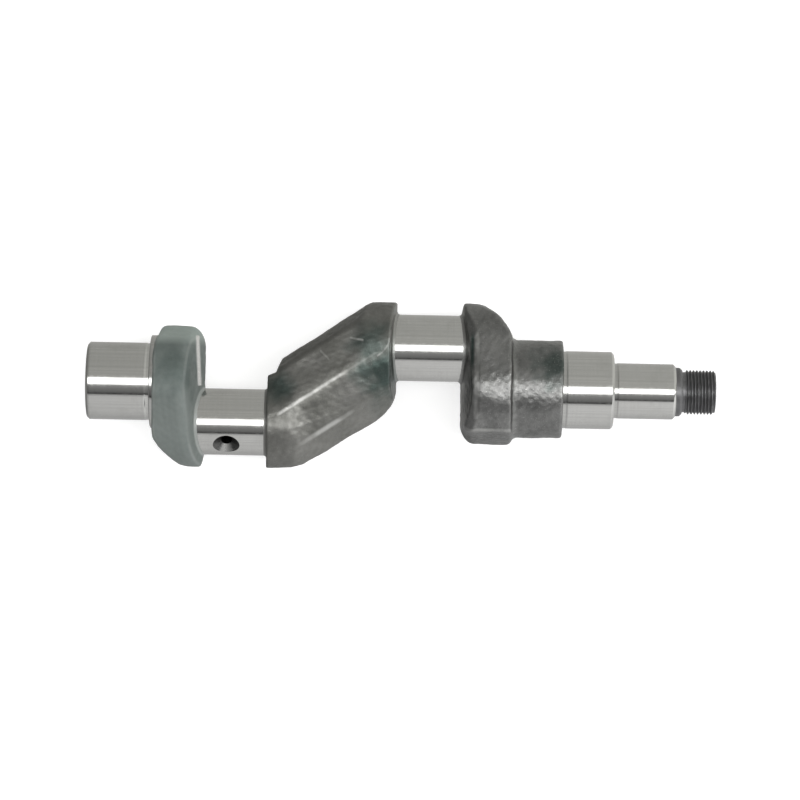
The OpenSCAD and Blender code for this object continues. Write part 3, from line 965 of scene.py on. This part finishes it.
def threaded_end(black):
    """A true helical thread with flat crests, a run-out groove, a chamfered start and a centre."""
    pitch, chamfer = 1.5, 1.0
    run_out, fade_in = 1.2, 0.8
    depth = 0.613 * pitch
    root = THREAD_R - depth
    first = THREAD + run_out

    def groove(x, a, r):
        """How far the thread lies from the profile's radius at station x and angle a."""
        if r < root - 0.01:
            return 0.0
        if x < first:
            return root - r
        turn = (x / pitch - a / (2 * math.pi)) % 1.0
        crest = min(1.0, max(0.0, (0.5 - abs(turn - 0.5)) * 2.9 - 0.15))
        top = min(THREAD_R, THREAD_R - chamfer + (RIGHT_END - x))
        share = min(1.0, (x - first) / fade_in)
        return max(root, root + (top - depth * (1.0 - crest) - root) * share) - r

    stations = np.linspace(THREAD - 0.02, RIGHT_END, 150)
    centre_r, pilot_r, pilot_end = 3.0, 0.9, RIGHT_END - 7
    cone = (centre_r - pilot_r) * math.sqrt(3)
    profile = [(THREAD - 2, 0), (THREAD - 2, root - 0.02)] + [(x, THREAD_R) for x in stations]
    profile += [(RIGHT_END, root - 0.15), (RIGHT_END, centre_r), (RIGHT_END - cone, pilot_r),
                (pilot_end, pilot_r), (pilot_end - 0.5, 0)]
    return turned_piece("threaded_end_cut", profile, black, ["threaded_end"],
                        segments=144, radial=groove, sharp=32.0)


def gallery_plug(number, material):
    """A screw plug with a hexagon socket, lying in the mouth of its gallery."""
    start, aim, end = gallery(number)
    length = PLUG_LENGTH[number]
    radius, flats, deep, segments = PLUG_R - PLUG_GAP, 5.0, 4.0, 72
    chamfer, mouth, drill_point = 0.6, 0.3, 0.8
    angles = np.linspace(0, 2 * math.pi, segments, endpoint=False)
    hexagon = (flats / 2) / np.cos((angles + math.pi / 6) % (math.pi / 3) - math.pi / 6)
    even = np.ones(segments)
    rings = [(0, radius * even), (length - chamfer, radius * even),
             (length, (radius - chamfer) * even), (length, hexagon + mouth + 0.05),
             (length - mouth, hexagon), (length - deep, hexagon)]
    side = np.array([-aim[1], aim[0], 0])
    verts, faces = [], []
    for along, radii in rings:
        middle = start + aim * (end - length + along)
        for a, r in zip(angles, radii):
            verts.append(middle + side * r * math.cos(a) + np.array([0, 0, 1]) * r * math.sin(a))
    for ring in range(len(rings) - 1):
        for i in range(segments):
            j = (i + 1) % segments
            a, b = ring * segments, (ring + 1) * segments
            faces.append((a + i, a + j, b + j, b + i))
    for ring, along in ((0, 0.0), (len(rings) - 1, length - deep - drill_point)):
        verts.append(start + aim * (end - length + along))
        tip = len(verts) - 1
        for i in range(segments):
            faces.append((tip, ring * segments + i, ring * segments + (i + 1) % segments))
    piece = new_object("gallery_plug_%d_screw" % number, np.array(verts), faces, [material], 30.0)
    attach(piece, "root")
    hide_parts("gallery_plug_%d" % number)
    return piece


# ---------------------------------------- floor, light and camera

def pale_floor():
    """A white floor just under the part, which the part's own steel doesn't reflect."""
    size_m, gap_m = 4.0, 0.0005
    bm = bmesh.new()
    bmesh.ops.create_grid(bm, x_segments=8, y_segments=8, size=size_m)
    mesh = bpy.data.meshes.new("floor")
    bm.to_mesh(mesh)
    bm.free()
    floor = bpy.data.objects.new("floor", mesh)
    floor.location = (CENTRE * MM, 0, LOWEST_M - gap_m)
    bpy.context.scene.collection.objects.link(floor)
    n = Nodes("floor_white")
    n.shader.inputs["Base Color"].default_value = (0.62, 0.62, 0.62, 1)
    n.shader.inputs["Roughness"].default_value = 0.9
    n.shader.inputs["Specular IOR Level"].default_value = 0.0
    n.shader.inputs["Emission Color"].default_value = (1, 1, 1, 1)
    n.shader.inputs["Emission Strength"].default_value = 0.60
    mesh.materials.append(n.material)
    floor.visible_glossy = False


def studio():
    """A soft studio all round: a white strip overhead, a dark gap beside it and pale panels."""
    world = bpy.data.worlds.new("studio")
    bpy.context.scene.world = world
    world.use_nodes = True
    tree = world.node_tree
    links = tree.links
    tree.nodes.clear()

    def node(kind, **settings):
        made = tree.nodes.new(kind)
        for key, value in settings.items():
            setattr(made, key, value)
        return made

    def maths(operation, a, b=None):
        made = node("ShaderNodeMath", operation=operation)
        for socket, value in zip(made.inputs, (a, b)):
            if isinstance(value, bpy.types.NodeSocket):
                links.new(value, socket)
            elif value is not None:
                socket.default_value = value
        return made.outputs[0]

    way = node("ShaderNodeSeparateXYZ")
    links.new(node("ShaderNodeTexCoord").outputs["Generated"], way.inputs[0])
    x, y, z = way.outputs
    # the ramp runs round the crank's axis: 0 degrees is straight up, 90 is +Y and -90 is -Y
    tilt = maths("DIVIDE", maths("ARCTAN2", y, z), 2 * math.pi)
    across = maths("ADD", tilt, 0.5)
    ramp = node("ShaderNodeValToRGB")
    links.new(across, ramp.inputs[0])
    stops = [(-180, 0.55), (-150, 0.55), (-110, 0.84), (-47, 0.92), (-43, 0.80), (-41.5, 0.05),
             (-38, 0.06), (-35, 0.22), (-24, 0.30), (-14, 0.48), (-10.5, 0.62), (-9, 4.6),
             (7.5, 4.6), (9, 0.66), (20, 0.60), (32, 0.62), (50, 0.58), (110, 0.60), (150, 0.55),
             (180, 0.55)]
    elements = ramp.color_ramp.elements
    for i, (degrees, value) in enumerate(stops):
        spot = degrees / 360 + 0.5
        element = elements[i] if i < 2 else elements.new(spot)
        element.position = spot
        element.color = (value, value, value * (0.96 if degrees >= 9 else 1.0), 1)
    ends = node("ShaderNodeMapRange", clamp=True, interpolation_type="SMOOTHSTEP")
    links.new(x, ends.inputs[0])
    for socket, value in zip(ends.inputs[1:5], (-0.75, 0.75, 0.50, 1.50)):
        socket.default_value = value
    streaks = node("ShaderNodeTexNoise", noise_dimensions="1D")
    links.new(across, streaks.inputs["W"])
    streaks.inputs["Scale"].default_value = 90.0
    streaks.inputs["Detail"].default_value = 3.0
    uneven = maths("MULTIPLY_ADD", streaks.outputs["Fac"], 0.8)
    uneven.node.inputs[2].default_value = 0.60
    strength = maths("MULTIPLY", ends.outputs[0], uneven)
    shade = node("ShaderNodeMix", data_type="RGBA", blend_type="MULTIPLY")
    shade.inputs[0].default_value = 1.0
    links.new(ramp.outputs[0], shade.inputs[6])
    links.new(strength, shade.inputs[7])
    lit = node("ShaderNodeBackground")
    links.new(shade.outputs[2], lit.inputs[0])
    seen = node("ShaderNodeBackground")
    seen.inputs[0].default_value = (0.95, 0.95, 0.95, 1)
    pick = node("ShaderNodeMixShader")
    links.new(node("ShaderNodeLightPath").outputs["Is Camera Ray"], pick.inputs[0])
    links.new(lit.outputs[0], pick.inputs[1])
    links.new(seen.outputs[0], pick.inputs[2])
    links.new(pick.outputs[0], node("ShaderNodeOutputWorld").inputs[0])


def look_down():
    """A long lens straight above the crank, square to its throws, as in the catalogue view."""
    aim_x, aim_y, distance_m, turn = CENTRE + 30.5, -6.1, 1.698, math.radians(1.15)
    camera = bpy.data.cameras.new("camera")
    camera.lens = 169.2
    camera.sensor_width = 36.0
    camera.clip_end = 20.0
    viewer = bpy.data.objects.new("camera", camera)
    viewer.location = (aim_x * MM, aim_y * MM, distance_m)
    viewer.rotation_euler = (0, 0, turn)
    bpy.context.scene.collection.objects.link(viewer)
    bpy.context.scene.camera = viewer
    bpy.context.scene.view_settings.view_transform = "Standard"


# ---------------------------------------- the crankshaft

def box_of(*nodes):
    """Lowest and highest corner of several CAD nodes together, in millimetres."""
    boxes = [span(node) for node in nodes]
    return np.min([low for low, _ in boxes], axis=0), np.max([high for _, high in boxes], axis=0)


def forgings():
    """The three forged pieces, each with its own tone and stains."""
    smooth = forged_steel("forged_smooth", (0.120, 0.140, 0.130, 1), (0.175, 0.195, 0.188, 1), 0.58,
                          0.35, uneven=0.35, sparkle=0.0, wear_and_highlight=0.25)
    middle = forged_steel("forged_middle", (0.098, 0.099, 0.088, 1), (0.215, 0.214, 0.204, 1), 0.42,
                          0.9, uneven=0.7, sparkle=0.25, wear_and_highlight=0.95)
    hub = forged_steel("forged_hub", (0.110, 0.112, 0.108, 1), (0.235, 0.235, 0.23, 1), 0.33, 1.0,
                       wear_and_highlight=0.55)
    reach = np.array([STUB_OUT + 0.1, 0, 0])
    skin = np.array([0.3, 0, 0])
    low, high = box_of("left_web", "left_counterweight")
    forged_piece("left_web_forging", left_forging, low, high, smooth, 11,
                 ["left_web", "left_counterweight"], (low - skin, high),
                 [(LEFT_WEB + 11, 7, 13, 0.65)], strip=left_strip, painted_top_light=left_painted_top_light)
    low, high = box_of("middle_web")
    stains = [(MIDDLE + 6, -1, 7, 0.9), (PIN_2 - 12, 19, 10, 0.8), (PIN_2 - 5, 6, 12, 1),
              (PIN_2 - 14, 6, 7, 0.9), (PIN_2 - 8, -6, 7, 0.3)]
    forged_piece("middle_web_forging", middle_forging, low - reach, high + reach, middle, 23,
                 ["middle_web"], (low - reach, high + reach), stains, highlights_and_rubs=middle_highlights_and_nicks, worn=0.35)
    low, high = box_of("right_web", "right_counterweight", "hub")
    forged_piece("right_web_forging", right_forging, low - reach, high, hub, 37,
                 ["right_web", "right_counterweight", "hub"], (low - reach, high),
                 [(RIGHT_MAIN - 5, 11, 9, 0.8)], highlights_and_rubs=right_highlight_and_edge_line, worn=0.3,
                 crevice_shade=right_crevice_shade)


def ground_pieces():
    """The journals, crankpins, collar and drive seat."""
    steel, drilled = ground_steel(), shaded_drilled_steel()
    left_journal(steel)
    thrust_collar(steel)
    hole_lead, hole_shift = math.radians(46), 3.6
    crankpin("crankpin_1_ground", "crankpin_1", PIN_1, MIDDLE, -THROW,
             (PIN_1 + MIDDLE) / 2 - hole_shift, math.pi / 2 - hole_lead, steel, drilled)
    crankpin("crankpin_2_ground", "crankpin_2", PIN_2, RIGHT_WEB, THROW,
             (PIN_2 + RIGHT_WEB) / 2 + hole_shift, -math.pi / 2 - hole_lead, steel, drilled)
    right_journal(steel)
    drive_seat(steel, drilled)


def thread_and_plugs():
    """The blackened end and the two gallery plugs."""
    black, plug = blackened_steel(), plug_steel()
    neck(black)
    threaded_end(black)
    gallery_plug(1, plug)
    gallery_plug(2, plug)


look_down()
studio()
pale_floor()
forgings()
ground_pieces()
thread_and_plugs()
